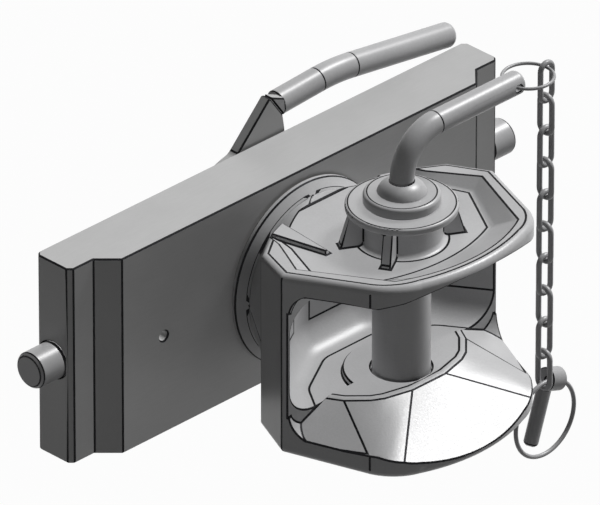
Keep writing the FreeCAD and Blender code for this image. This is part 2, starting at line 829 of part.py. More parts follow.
def jaw_neck():
    """The neck that opens from the flange's cone to the jaw's back."""
    cone, corner, half_width, rear_y = numbers(
        s.flange_cone_radius, s.neck_corner, s.jaw_rear_half_width, s.jaw_rear_y)
    front = flange_face() - number(s.flange_thickness)
    top = number(s.jaw_half_height) + number(s.jaw_flare) * (number(s.jaw_shoulder_y) - rear_y)
    round_end = level_section(cone, cone, cone - 1.0, front)
    square_end = level_section(half_width, top, corner, rear_y)
    inside = level_section(half_width, top, corner, rear_y - number(s.neck_overlap))
    neck = Part.makeLoft([round_end, square_end], True, True)
    return neck.fuse(Part.makeLoft([square_end, inside], True, True))


def flange_face():
    """How far forward the jaw's flange starts: the plate's front, less the friction washer."""
    front = -number(s.tongue_thickness) / 2 - number(s.front_step)
    return front - number(s.friction_washer_thickness) - number(s.running_gap)


def jaw_journal():
    """The flange's rim and cone, the journal and the stub for the nut, turned about one axis."""
    rim, rim_deep = numbers(s.flange_radius, s.flange_rim)
    cone, thick = numbers(s.flange_cone_radius, s.flange_thickness)
    journal, stub, break_edge = numbers(s.journal_radius, s.stub_radius, s.stub_chamfer)
    face = flange_face()
    shoulder = number(s.tongue_thickness / 2 + s.sleeve_length + s.face_gap)
    nut_end = shoulder + number(s.thrust_washer_thickness + s.nut_hex_height + s.nut_crown_height)
    end = nut_end + number(s.stub_reach)
    half = closed_face([
        V(0, face - thick, 0), V(cone, face - thick, 0), V(rim, face - rim_deep, 0), V(rim, face, 0),
        V(journal, face, 0), V(journal, shoulder, 0), V(stub, shoulder, 0), V(stub, end - break_edge, 0),
        V(stub - break_edge, end, 0), V(0, end, 0)])
    hole = Part.makeCylinder(number(s.cotter_radius) + number(s.cotter_gap), 4 * stub,
                             V(-2 * stub, cotter_depth(), 0), V(1, 0, 0))
    return half.revolve(V(0, 0, 0), V(0, 1, 0), 360).cut(hole)


def pin_cylinder(radius, low, high):
    """A cylinder on the coupling pin's axis."""
    return Part.makeCylinder(number(radius), number(high) - number(low),
                             V(0, number(s.pin_axis_y), number(low)))


def jaw_cavity():
    """The round-backed hollow behind the pin, with swept floors and roof."""
    ledge = number(s.ledge_height)
    plan = mirrored([
        (number(s.cavity_mouth_x), window_line()),
        numbers(s.cavity_side_x, s.cavity_side_y),
        numbers(s.cavity_back_x, s.cavity_back_y)])
    hollow = prism(plan, -ledge, ledge)
    behind = window_line() + 1.0
    upright = [e for e in hollow.Edges
               if direction(e) and abs(direction(e).z) > 0.9 and e.Vertexes[0].Point.y > behind]
    hollow = hollow.makeFillet(number(s.cavity_corner), upright)
    rim = [e for e in hollow.Edges if e.BoundBox.ZLength < SAME and e.BoundBox.YMax > behind]
    hollow = hollow.makeFillet(number(s.cavity_fillet), rim)
    pads = [pin_cylinder(s.pad_radius, -ledge, -s.pad_height),
            pin_cylinder(s.pad_radius, s.pad_height, ledge)]
    return hollow.cut(pads[0]).cut(pads[1])


def window_frame():
    """The round-cornered opening of the mouth in the jaw's right face, as a long block square to it."""
    shoulder = V(*numbers(s.jaw_shoulder_x, s.jaw_shoulder_y), 0)
    corner = V(*numbers(s.jaw_corner_x, s.jaw_corner_y), 0)
    along = (corner - shoulder).normalize()
    radius, start, far = numbers(s.window_corner, s.window_start, s.plate_length)
    tall = number(s.pad_height) + radius
    slant = radius * (1 - math.sqrt(0.5))
    edges = []
    for side in (-1, 1):
        points = [V(start, 0, side * (tall - radius)), V(start + slant, 0, side * (tall - slant)),
                  V(start + radius, 0, side * tall), V(far, 0, side * tall)]
        edges.append(Part.Arc(*points[:3]).toShape())
        edges.append(Part.LineSegment(points[2], points[3]).toShape())
    edges.append(Part.LineSegment(V(far, 0, -tall), V(far, 0, tall)).toShape())
    edges.append(Part.LineSegment(V(start, 0, tall - radius), V(start, 0, radius - tall)).toShape())
    frame = Part.Face(Part.Wire(Part.__sortEdges__(edges))).extrude(V(0, 2 * far, 0))
    frame.translate(V(0, -far, 0))
    frame.rotate(V(0, 0, 0), V(0, 0, 1), math.degrees(math.atan2(along.y, along.x)))
    frame.translate(shoulder)
    return frame


def across(shape):
    """The left twin of a right-hand shape."""
    return shape.mirror(V(0, 0, 0), V(1, 0, 0))


def outward(turn):
    """The level direction that a slope of the mouth falls in, by its turn from +X."""
    return V(math.cos(math.radians(turn)), math.sin(math.radians(turn)), 0)


def ridge_between(first, second):
    """The narrow slope that blends two others where they meet, as place, turn and slope."""
    ways = [outward(first[2]), outward(second[2])]
    offsets = [way.dot(V(edge[0], edge[1], 0)) for way, edge in zip(ways, (first, second))]
    turned = ways[0].x * ways[1].y - ways[0].y * ways[1].x
    meet = V((offsets[0] * ways[1].y - offsets[1] * ways[0].y) / turned,
             (offsets[1] * ways[0].x - offsets[0] * ways[1].x) / turned, 0)
    level = ways[0] * first[3] - ways[1] * second[3]
    ridge = V(-level.y, level.x, 0).normalize()
    turn = (first[2] + second[2]) / 2
    slope = first[3] * ways[0].dot(ridge) / outward(turn).dot(ridge)
    start = meet - outward(turn) * number(s.ridge_inset)
    return start.x, start.y, turn, slope


def jaw_mouth():
    """The open funnel in front: slopes that fall from the pads' edges and blend into each other."""
    height, far = numbers(s.pad_height, s.plate_length)
    nose = (0.0, number(s.pad_nose_y), -90.0, number(s.nose_slope))
    corner = numbers(s.pad_corner_x, s.pad_corner_y, -s.pad_corner_turn, s.corner_slope)
    side = numbers(s.pad_side_x, s.pad_side_y, -s.pad_side_turn, s.side_slope)
    front = [wedge(*corner), wedge(*ridge_between(nose, corner))]
    flank = [wedge(*side).common(window_frame()), wedge(*ridge_between(corner, side)).common(window_frame())]
    slab = Part.makeBox(far, far, 2 * height, V(-far / 2, window_line() - far, -height))
    rooms = front + flank
    funnel = slab.fuse([wedge(*nose)] + rooms + [across(room) for room in rooms])
    reach = number(s.jaw_shoulder_x) * 2
    bounds = Part.makeBox(2 * reach, reach, 2 * reach, V(-reach, window_line() - reach, -reach))
    return funnel.common(bounds)


def jaw_recess():
    """The hollow in the jaw's top, its side walls leaning outwards to the rim."""
    root_y = number(s.recess_root_y)
    low = mirrored([
        numbers(s.recess_nose_x, s.recess_nose_y), numbers(s.recess_shoulder_x, s.recess_shoulder_y),
        numbers(s.recess_hip_x, s.recess_hip_y), (number(s.recess_root_x), root_y)])
    high = mirrored([
        numbers(s.brim_nose_x, s.brim_nose_y), numbers(s.brim_shoulder_x, s.brim_shoulder_y),
        numbers(s.brim_hip_x, s.brim_hip_y), (number(s.brim_root_x), root_y)])
    low[-1] = low[-1][:2] + (number(s.recess_nose_arc),)
    high[-1] = high[-1][:2] + (number(s.brim_nose_arc),)
    floor = number(s.recess_floor)
    brim = number(s.jaw_half_height) + number(s.brim_rise)
    tool = Part.makeLoft([plan_wire(low, floor), plan_wire(high, brim)], True, True)
    foot = [e for e in tool.Edges if e.BoundBox.ZMax < floor + SAME and e.BoundBox.YMin < root_y - 1]
    return tool.makeFillet(number(s.recess_fillet), foot)


def foot_fillet(radius, rounding, floor):
    """The hollow rounding between a round wall and the floor it stands on, about the coupling pin's axis."""
    middle = rounding * (1 - math.sqrt(0.5))
    below = floor - number(s.floor_overlap)
    inner = radius - number(s.floor_overlap)
    half = Part.Wire([
        Part.Arc(V(radius + rounding, 0, floor), V(radius + middle, 0, floor + middle),
                 V(radius, 0, floor + rounding)).toShape(),
        Part.makePolygon([V(radius, 0, floor + rounding), V(inner, 0, floor + rounding), V(inner, 0, below),
                          V(radius + rounding, 0, below), V(radius + rounding, 0, floor)])])
    ring = Part.Face(half).revolve(V(0, 0, 0), V(0, 0, 1), 360)
    ring.translate(V(0, number(s.pin_axis_y), 0))
    return ring


def jaw_collar():
    """The turned collar round the pin, with four gussets that carry its disc."""
    floor = number(s.recess_floor) - number(s.floor_overlap)
    top = number(collar_top())
    disc = top - number(s.collar_disc_thickness)
    plate = pin_cylinder(s.collar_disc_radius, disc, top)
    rims = [e for e in plate.Edges if round_at(e, number(s.collar_disc_radius))]
    rounding = number(s.collar_disc_fillet)
    collar = pin_cylinder(s.collar_radius, floor, top).fuse(plate.makeFillet(rounding, rims))
    foot, thickness, toe, toe_height = numbers(
        s.gusset_foot, s.gusset_thickness, s.gusset_toe_length, s.gusset_toe_height)
    inner = number(s.coupling_pin_radius + s.pin_bush_wall + s.running_gap * 10)
    under_disc = disc + rounding / 3
    profile = closed_face([
        V(inner, 0, floor), V(foot, 0, floor), V(foot - toe, 0, floor + toe_height),
        V(number(s.collar_disc_radius) - rounding, 0, under_disc), V(inner, 0, under_disc)])
    for turn in (number(s.gusset_angle), 180 - number(s.gusset_angle)):
        for angle in (turn, turn + 180):
            gusset = profile.extrude(V(0, thickness, 0))
            gusset.translate(V(0, -thickness / 2, 0))
            gusset.rotate(V(0, 0, 0), V(0, 0, 1), angle)
            gusset.translate(V(0, number(s.pin_axis_y), 0))
            collar = collar.fuse(gusset)
    radius, rounding, floor = numbers(s.collar_radius, s.collar_foot_fillet, s.recess_floor)
    return collar.fuse(foot_fillet(radius, rounding, floor))


def floor_rib():
    """The low tapered rib on the recess floor, from the neck to a rounded tip beside the collar."""
    low = number(s.recess_floor) - number(s.floor_overlap)
    high = number(s.recess_floor) + number(s.rib_height)
    half, slant = number(s.rib_tip_width) / 2, number(s.rib_slant)
    inner, outer, tip = (
        V(*numbers(s.rib_inner_x, s.rib_inner_y), low), V(*numbers(s.rib_outer_x, s.rib_outer_y), low),
        V(*numbers(s.rib_tip_x, s.rib_tip_y), low))
    foot = [inner, outer, tip + V(half, 0, 0), tip - V(half, 0, 0)]
    rise = V(0, 0, high - low)
    crown = [inner + V(slant, -slant / 2, 0) + rise, outer + V(-slant, 0, 0) + rise,
             tip + V(half / 3, slant, 0) + rise, tip + V(-half / 3, slant, 0) + rise]
    return Part.makeLoft([Part.makePolygon(foot + foot[:1]), Part.makePolygon(crown + crown[:1])], True, True)


def jaw():
    """The jaw casting: block, neck, flange and journal, hollowed by the mouth, with the collar on top."""
    body = jaw_block().fuse([jaw_neck(), jaw_journal()])
    body = body.cut(jaw_cavity().fuse(jaw_mouth()))
    recess = jaw_recess()
    under = recess.mirror(V(0, 0, 0), V(0, 0, 1))
    body = body.cut(recess).cut(under)
    overlap = s.floor_overlap - s.recess_floor
    boss = pin_cylinder(s.lower_boss_radius, lower_boss_bottom(), overlap)
    rib = floor_rib()
    body = body.fuse([rib, across(rib), jaw_collar(), boss]).removeSplitter()
    bush = s.coupling_pin_radius + s.running_gap + s.pin_bush_wall + s.press_gap
    seat = s.pad_height + s.pin_bush_recess
    far = s.plate_length / 2
    body = body.cut(pin_cylinder(s.coupling_pin_radius + s.pin_bore_gap, -far, far))
    body = body.cut(pin_cylinder(bush, seat, far)).cut(pin_cylinder(bush, -far, -seat))
    solid_part("jaw", body.removeSplitter())


def pin_bushes():
    """The hardened bushes that the coupling pin slides in, in the collar and in the lower plate."""
    bore = s.coupling_pin_radius + s.running_gap
    outer = bore + s.pin_bush_wall
    seat = s.pad_height + s.pin_bush_recess
    shift = -s.pin_axis_y
    revolved("upper_pin_bush", "XZ_Plane", "V_Axis",
             [(bore, seat), (outer, seat), (outer, collar_top()), (bore, collar_top())], shift)
    revolved("lower_pin_bush", "XZ_Plane", "V_Axis",
             [(bore, lower_boss_bottom()), (outer, lower_boss_bottom()), (outer, -seat), (bore, -seat)],
             shift)


def cap_height():
    """The height of the cap's top."""
    return collar_top() + s.face_gap + s.cap_thickness


def dome_height():
    """The height where the dome meets the hand rod."""
    return cap_height() + s.dome_rise


def coupling_pin():
    """The drawbar pin with its cross hole, the cap that seats on the collar, and the handle's weld."""
    shift = -s.pin_axis_y
    under_cap = collar_top() + s.face_gap
    cap_top = cap_height()
    pin = revolved("coupling_pin", "XZ_Plane", "V_Axis",
                   [(0, s.coupling_pin_bottom), (s.coupling_pin_radius, s.coupling_pin_bottom),
                    (s.coupling_pin_radius, under_cap), (0, under_cap)], shift)
    tip = dressed(pin, "Chamfer", pin.Tip,
                  lambda e: round_at(e, number(s.coupling_pin_radius))
                  and abs(e.CenterOfMass.z - number(s.coupling_pin_bottom)) < SAME, s.pin_tip_chamfer)
    pin.Tip = tip
    hole = circle(sketch_on(pin, "YZ_Plane"), s.pin_axis_y, s.linch_hole_z,
                  s.linch_radius + s.face_gap)
    feature(pin, "Pocket", hole, s.coupling_pin_radius * 4, symmetric=True)
    cap = revolved("pin_cap", "XZ_Plane", "V_Axis",
                   [(0, under_cap), (s.cap_radius, under_cap), (s.cap_radius, cap_top), (0, cap_top)], shift)
    dressed(cap, "Fillet", cap.Tip,
            lambda e: round_at(e, number(s.cap_radius)) and e.CenterOfMass.z > number(cap_top) - SAME,
            s.cap_fillet)


def handle_collar():
    """The domed weld collar between the cap and the handle."""
    foot = number(cap_height())
    top = number(dome_height())
    rod_radius, base = numbers(s.handle_radius, s.dome_radius)
    shoulder = V(number(s.dome_shoulder_radius), 0, foot + number(s.dome_shoulder_rise))
    half = Part.Wire([
        Part.LineSegment(V(0, 0, foot), V(base, 0, foot)).toShape(),
        Part.Arc(V(base, 0, foot), shoulder, V(rod_radius, 0, top)).toShape(),
        Part.LineSegment(V(rod_radius, 0, top), V(0, 0, top)).toShape(),
        Part.LineSegment(V(0, 0, top), V(0, 0, foot)).toShape()])
    dome = Part.Face(half).revolve(V(0, 0, 0), V(0, 0, 1), 360)
    dome.translate(V(0, number(s.pin_axis_y), 0))
    solid_part("handle_collar", dome)


def pin_handle():
    """The bent hand rod on the coupling pin, drilled near its end for the wire ring."""
    y = number(s.pin_axis_y)
    height = number(s.handle_height)
    points = [V(0, y, number(dome_height())), V(0, y, height), V(number(s.handle_reach), y, height)]
    radius = number(s.handle_radius)
    bar = rod(points, number(s.handle_bend), radius, number(s.handle_nose))
    hole = Part.makeCylinder(number(s.handle_hole_radius), 6 * radius,
                             V(number(s.handle_hole_x), y - 3 * radius, height), V(0, 1, 0))
    solid_part("pin_handle", bar.cut(hole))


def chain_link(number_of_link, top):
    """One welded round link, turned a quarter from the one above, and its bow's centre height."""
    wire, bow = number(s.chain_wire), number(s.chain_bow)
    long_way = number(s.chain_pitch) + 2 * wire + number(s.chain_play)
    run = long_way - 2 * bow
    quarters = []
    for x, z, ways in ((0, 0, (180, 90, 0)), (0, -run, (0, -90, -180))):
        marks = [V(x + bow * math.cos(math.radians(a)), 0, z + bow * math.sin(math.radians(a))) for a in ways]
        quarters.append(Part.Arc(*marks).toShape())
    sides = [Part.LineSegment(V(bow, 0, 0), V(bow, 0, -run)).toShape(),
             Part.LineSegment(V(-bow, 0, -run), V(-bow, 0, 0)).toShape()]
    path = Part.Wire([quarters[0], sides[0], quarters[1], sides[1]])
    section = Part.Wire(Part.Circle(V(-bow, 0, 0), V(0, 0, 1), wire).toShape())
    link = path.makePipeShell([section], True, False)
    turn = 0 if number_of_link % 2 else 90
    base = V(chain_x(), number(s.pin_axis_y), top - bow)
    solid_part("chain_link_{:02d}".format(number_of_link), link, base, FreeCAD.Rotation(V(0, 0, 1), turn))


def chain_x():
    """How far out the chain hangs: at the wire ring's outer side."""
    return number(s.ring_start_x) + 2 * number(s.wire_ring_radius)


def first_link_top():
    """The height of the first link's upper wire, hooked over the ring."""
    return number(s.handle_height) + number(s.wire_ring_wire) + number(s.chain_wire) + number(s.chain_play)


def last_link_bottom():
    """The height of the last link's lower wire."""
    steps = (number(s.chain_links) - 1) * number(s.chain_pitch)
    long_way = number(s.chain_pitch) + 2 * number(s.chain_wire) + number(s.chain_play)
    return first_link_top() - steps - long_way


def chain():
    """The wire ring in the handle and the links that hang from it."""
    y = number(s.pin_axis_y)
    middle = V(number(s.ring_start_x) + number(s.wire_ring_radius), y, number(s.handle_height))
    radius, wire = numbers(s.wire_ring_radius, s.wire_ring_wire)
    solid_part("wire_ring", Part.makeTorus(radius, wire, middle, V(0, 0, 1)))
    for k in range(int(number(s.chain_links))):
        chain_link(k + 1, first_link_top() - k * number(s.chain_pitch))


def linch():
    """The linch pin that hangs from the chain: a spring ring through a round head, and the pin beside it."""
    y = number(s.pin_axis_y)
    ring, wire = numbers(s.linch_ring_radius, s.linch_ring_wire)
    top = last_link_bottom() + number(s.chain_wire) + wire + number(s.chain_play)
    centre = V(chain_x() + number(s.linch_ring_shift), y, top - ring)
    solid_part("linch_ring", Part.makeTorus(ring, wire, centre, V(0, 1, 0)))
    head_out, head_radius = number(s.linch_head_length), number(s.linch_head_radius)
    middle_angle = math.radians(number(s.linch_head_angle))
    way = V(math.sin(middle_angle), 0, -math.cos(middle_angle))
    sagitta = ring - math.sqrt(ring**2 - (head_out / 2) ** 2)
    on_ring = centre + V(math.cos(middle_angle), 0, math.sin(middle_angle)) * (ring - sagitta / 2)
    beside = number(s.linch_radius) + wire + number(s.face_gap)
    head_middle = on_ring + V(0, number(s.linch_hole_offset), 0)
    head = Part.makeCylinder(head_radius, head_out, head_middle - way * (head_out / 2), way)
    lean = math.radians(number(s.linch_lean))
    down = V(-math.sin(lean), 0, -math.cos(lean))
    root = V(head_middle.x, y + beside, head_middle.z)
    shank = Part.makeCylinder(number(s.linch_radius), number(s.linch_length + s.linch_root), root, down)
    tip = [e for e in shank.Edges if round_at(e, number(s.linch_radius)) and e.CenterOfMass.z < root.z - ring]
    shank = shank.makeChamfer(number(s.linch_chamfer), tip)
    hole = Part.makeCylinder(number(s.linch_hole_radius), 3 * head_out, on_ring - way * (1.5 * head_out), way)
    solid_part("linch_pin", head.fuse(shank).cut(hole).removeSplitter())


def problems():
    """Every object that failed, and every sub-part with no sound shape."""
    bad = [o.Label for o in doc.Objects if "Invalid" in o.State or "Error" in o.State]
    for part in made:
        shape = part.Shape
        if shape.isNull() or not shape.isValid() or not shape.Solids:
            bad.append(part.Label)
    return bad


slide_plate()
for side, word in ((-1, "left"), (1, "right")):
    lock_pin(side, word + "_lock_pin")
    lock_stud(side, word + "_pin_stud")
    lock_spring(side, word + "_lock_spring")
journal_stack()
cotter_pin()
rotor_plate()
lever_handle()
lever_weld()
jaw()
pin_bushes()
coupling_pin()
handle_collar()
pin_handle()
chain()
linch()

doc.recompute()
failed = problems()
if failed:
    raise RuntimeError("these sub-parts failed: " + ", ".join(sorted(set(failed))))
os.makedirs("parts", exist_ok=True)
for part in made:
    part.Shape.exportStep(os.path.join("parts", part.Label + ".step"))
    print(part.Label, len(part.Shape.Solids), round(part.Shape.Volume))
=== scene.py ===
import math

import bmesh
import bpy
from mathutils import Matrix, Vector
from mathutils.bvhtree import BVHTree


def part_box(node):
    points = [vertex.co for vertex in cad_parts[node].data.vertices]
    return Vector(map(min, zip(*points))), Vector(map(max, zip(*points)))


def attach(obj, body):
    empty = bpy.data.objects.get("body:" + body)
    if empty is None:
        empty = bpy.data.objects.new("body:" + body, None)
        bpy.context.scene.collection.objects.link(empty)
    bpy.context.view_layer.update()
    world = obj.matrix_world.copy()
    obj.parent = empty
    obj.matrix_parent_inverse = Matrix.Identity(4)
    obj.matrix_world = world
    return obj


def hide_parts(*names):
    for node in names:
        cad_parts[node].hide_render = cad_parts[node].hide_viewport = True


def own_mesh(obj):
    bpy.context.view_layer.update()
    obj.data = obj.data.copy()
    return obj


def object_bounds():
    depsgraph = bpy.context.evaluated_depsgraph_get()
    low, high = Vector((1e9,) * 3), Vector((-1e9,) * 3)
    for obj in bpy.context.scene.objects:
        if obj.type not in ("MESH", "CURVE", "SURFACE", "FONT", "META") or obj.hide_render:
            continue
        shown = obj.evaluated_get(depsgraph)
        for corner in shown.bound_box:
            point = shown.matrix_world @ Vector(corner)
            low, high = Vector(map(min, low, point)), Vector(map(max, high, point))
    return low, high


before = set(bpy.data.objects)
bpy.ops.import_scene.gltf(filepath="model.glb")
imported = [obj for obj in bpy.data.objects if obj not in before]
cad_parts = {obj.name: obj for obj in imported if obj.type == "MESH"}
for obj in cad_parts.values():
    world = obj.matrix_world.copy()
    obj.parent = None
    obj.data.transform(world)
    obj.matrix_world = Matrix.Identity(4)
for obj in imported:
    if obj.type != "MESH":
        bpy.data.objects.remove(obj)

bl_info = {
    "name": "Clevis head",
    "version": (1, 0, 0),
    "blender": (4, 5, 0),
    "location": "View3D > Sidebar > Clevis",
    "description": "Dresses a swivelling clevis drawbar head: steel pieces, finishes, light and camera",
    "category": "Object",
}

CAD_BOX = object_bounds()
MM = 0.001
X, Y, Z = Vector((1, 0, 0)), Vector((0, 1, 0)), Vector((0, 0, 1))

# Joining the frame's triangles: points this near become one, and so do faces that turn this little.
WELD_GAP = 0.004 * MM
FLAT_ANGLE = math.radians(0.25)

# Dark lines are drawn where an edge turns more than LINE_ANGLE, and where a flat area at least about BROAD
# wide ends with more than TANGENT_ANGLE, but not beside facets narrower than SLIVER. A ring's edges lie within
# RING_REACH of its plane.
LINE_ANGLE = math.radians(38)
TANGENT_ANGLE = math.radians(1.2)
BROAD = 8 * MM
SLIVER = 0.15 * MM
RING_REACH = 0.02 * MM

# Shading is smooth across edges that turn less than this.
SMOOTH_ANGLE = math.radians(34)

# The slopes of the jaw's mouth lie in front of MOUTH_BACK and within MOUTH_HALF of the middle plane, and the
# upright part of their normals is between the two slope values. The front slope turns less than NOSE_TURN, a
# side slope more than SIDE_TURN, and the narrow slopes between them are shaded as one corner.
MOUTH_BACK, MOUTH_HALF = -110 * MM, 66 * MM
SLOPE_STEEP, SLOPE_LEVEL = 0.80, 0.95
NOSE_TURN, SIDE_TURN = math.radians(5), math.radians(55)

# The ledges at the corners' feet are small level faces in front of LEDGE_BACK, shaded with the corners.
LEDGE_BACK, LEDGE_AREA = -150 * MM, 30 * MM ** 2

# The rounded lip between the mouth's slopes and its pads, whose normals are upright beyond PAD_LEVEL. The
# lip's faces are zone LIP, and the mouth's corners are zones 1 to 4.
LIP_WIDTH, LIP_STEPS, PAD_LEVEL = 4.6 * MM, 3, 0.999
LIP = 5

# Facets round a ring, round the wire, and round the half turn at a link's end.
TURN_STEPS, WIRE_STEPS, BOW_STEPS = 96, 16, 12

# How far from the middle each lock spring rests against the plate.
SPRING_SEAT = 92.5 * MM

# Centre lines of the two bent rods, in millimetres, and the radius of their bends.
LEVER_PATH, LEVER_BEND = ((31.5, 25.5, 87.4), (84.0, 25.5, 90.7), (191.0, 25.5, 75.3)), 150.0
HANDLE_PATH, HANDLE_BEND = ((0, -120, 100), (0, -120, 132.0), (100, -120, 132.0)), 30.0

# Steel: the two noises, their shares in the tone, and what the grain and the dark edges add to the roughness.
MOTTLING, SLOW_DETAIL, FINE_DETAIL, FINE_ROUGHNESS = 22.0, 4.0, 5.0, 0.6
SLOW_SHARE, FINE_SHARE, TONE_LOW, TONE_HIGH = 0.55, 0.45, 0.32, 0.68
GRAIN_ROUGHNESS, EDGE_ROUGHNESS, BUMP_STRENGTH = 0.16, 0.2, 0.55
SHINE, REFRACTION = 0.38, 1.5

# Stage: the camera sees the floor nearly white and the surround white. Light meets a grey floor, and the
# surround gives next to none.
WHITE, FLOOR_GREY = (1, 1, 1, 1), (0.16, 0.16, 0.16, 1)
FLOOR_WHITE_SHARE, FLOOR_HALF, SURROUND_LIGHT = 0.97, 30, 0.02
SUN_DIRECTION, SUN_ANGLE = (0.61, -0.10, 0.78), math.radians(16)
KEY_ENERGY, FILL_ENERGY = 0.9, 3.4

# Camera: the photograph's viewing angle and scale, and how far its middle lies from the frame's origin.
AZIMUTH, ELEVATION, VIEW_ANGLE = math.radians(-45), math.radians(30), math.radians(2)
PIXELS_ACROSS, PIXELS_PER_MM = 600, 1.55
AIM_RIGHT, AIM_DOWN = 19.8 * MM, 0.6 * MM
SENSOR, CLIP_START = 36, 0.1


class ClevisSizes(bpy.types.PropertyGroup):
    """Sizes that a user may change without touching the frame."""

    line_width: bpy.props.FloatProperty(
        name="Edge width", description="Width of the dark broken edge on plates and castings",
        default=1.5 * MM, unit="LENGTH")
    round_line_width: bpy.props.FloatProperty(
        name="Round edge width", description="Width of the dark broken edge on turned and bent pieces",
        default=1.15 * MM, unit="LENGTH")
    floor_gap: bpy.props.FloatProperty(
        name="Floor gap", description="How far below the chain's end the floor lies",
        default=60 * MM, unit="LENGTH")


class ClevisColours(bpy.types.PropertyGroup):
    """Colours of the finishes."""

    cast: bpy.props.FloatVectorProperty(
        name="Cast steel", description="Colour of the jaw", default=(0.40, 0.40, 0.405),
        size=3, subtype="COLOR")
    plate: bpy.props.FloatVectorProperty(
        name="Plate steel", description="Colour of the slide plate and lever",
        default=(0.40, 0.40, 0.40), size=3, subtype="COLOR")
    pin: bpy.props.FloatVectorProperty(
        name="Pin steel", description="Colour of the turned pins", default=(0.37, 0.37, 0.375),
        size=3, subtype="COLOR")
    chain: bpy.props.FloatVectorProperty(
        name="Chain steel", description="Colour of the chain and rings", default=(0.30, 0.30, 0.305),
        size=3, subtype="COLOR")
    bronze: bpy.props.FloatVectorProperty(
        name="Bronze", description="Colour of the bush and the friction washer",
        default=(0.36, 0.26, 0.14), size=3, subtype="COLOR")
    edge: bpy.props.FloatVectorProperty(
        name="Edge", description="Colour of the dark oxide left along the edges",
        default=(0.012, 0.012, 0.013), size=3, subtype="COLOR")


class Value:
    """One output socket. Sums, differences and products add Math nodes."""

    def __init__(self, shop, socket):
        self.shop = shop
        self.socket = socket

    def math(self, operation, first, second):
        return self.shop.node("ShaderNodeMath", {"operation": operation}, {0: first, 1: second})

    def __add__(self, other):
        return self.math("ADD", self, other)

    def __radd__(self, other):
        return self.math("ADD", other, self)

    def __sub__(self, other):
        return self.math("SUBTRACT", self, other)

    def __mul__(self, other):
        return self.math("MULTIPLY", self, other)


class Shop:
    """Makes the nodes of one material or of the world."""

    def __init__(self, owner):
        owner.use_nodes = True
        self.owner = owner
        self.tree = owner.node_tree
        self.tree.nodes.clear()

    def node(self, kind, settings=None, inputs=None, output=0):
        """One node: its settings first, then the values or links of its sockets."""
        made = self.tree.nodes.new(kind)
        for word, setting in (settings or {}).items():
            setattr(made, word, setting)
        for key, value in (inputs or {}).items():
            if isinstance(value, Value):
                self.tree.links.new(value.socket, made.inputs[key])
            else:
                made.inputs[key].default_value = value
        return Value(self, made.outputs[output]) if made.outputs else None

    def in_view(self):
        """One for rays from the camera, in reflections and through glass, and zero for any other ray."""
        path = self.tree.nodes.new("ShaderNodeLightPath")
        words = ("Is Camera Ray", "Is Glossy Ray", "Is Transmission Ray")
        camera, glossy, through = (Value(self, path.outputs[word]) for word in words)
        return camera + glossy + through

    def noise(self, place, scale, detail, roughness=0.5):
        """Smooth random values about one half."""
        return self.node("ShaderNodeTexNoise", {}, {
            "Vector": place, "Scale": scale, "Detail": detail, "Roughness": roughness})

    def stretched(self, place, scale):
        """Object coordinates scaled by a different amount along each axis."""
        return self.node("ShaderNodeMapping", {}, {"Vector": place, "Scale": scale})

    def between(self, value, low, high):
        """Zero below low, one above high, and a smooth step from one to the other."""
        return self.node("ShaderNodeMapRange", {"interpolation_type": "SMOOTHSTEP"}, {
            "Value": value, "From Min": low, "From Max": high})

    def mixed(self, factor, first, second):
        """A colour between two colours."""
        made = self.tree.nodes.new("ShaderNodeMix")
        made.data_type = "RGBA"
        sockets = {s.identifier: s for s in made.inputs}
        for key, value in (("Factor_Float", factor), ("A_Color", first), ("B_Color", second)):
            if isinstance(value, Value):
                self.tree.links.new(value.socket, sockets[key])
            elif key == "Factor_Float":
                sockets[key].default_value = value
            else:
                sockets[key].default_value = tuple(value)[:3] + (1.0,)
        return Value(self, next(s for s in made.outputs if s.identifier == "Result_Color"))

    def finished(self, constants, changing):
        """The surface shader and the output."""
        surface = self.node("ShaderNodeBsdfPrincipled", {}, {**constants, **changing})
        self.node("ShaderNodeOutputMaterial", {}, {"Surface": surface})
        return self.owner


def shades(colour, amount):
    """A darker and a lighter shade of one colour."""
    return [c * (1 - amount) for c in colour], [min(1.0, c * (1 + amount)) for c in colour]


def steel(name, colour, grain, rough, spread, relief, darker=0.0, stretch=None):
    """Bare steel: slow mottling, fine grain in colour and relief, and dark oxide along the broken edges."""
    colours = bpy.context.scene.clevis_colours
    shop = Shop(bpy.data.materials.new(name))
    place = shop.node("ShaderNodeTexCoord", {}, {}, "Object")
    edge = shop.node("ShaderNodeAttribute", {"attribute_name": "edge"}, {}, "Fac")
    slow = shop.noise(place, MOTTLING, SLOW_DETAIL)
    grained = shop.stretched(place, stretch) if stretch else place
    fine = shop.noise(grained, grain, FINE_DETAIL, FINE_ROUGHNESS)
    base = shades(getattr(colours, colour), darker)[0]
    dark, light = shades(base, spread)
    share = shop.between(slow * SLOW_SHARE + fine * FINE_SHARE, TONE_LOW, TONE_HIGH)
    inked = shop.mixed(edge, shop.mixed(share, dark, light), colours.edge)
    worn = rough + (fine - 0.5) * GRAIN_ROUGHNESS + edge * EDGE_ROUGHNESS
    bump = shop.node("ShaderNodeBump", {}, {"Height": fine, "Strength": BUMP_STRENGTH, "Distance": relief})
    return shop.finished(
        {"Specular IOR Level": SHINE, "IOR": REFRACTION},
        {"Base Color": inked, "Metallic": edge, "Roughness": worn, "Normal": bump})


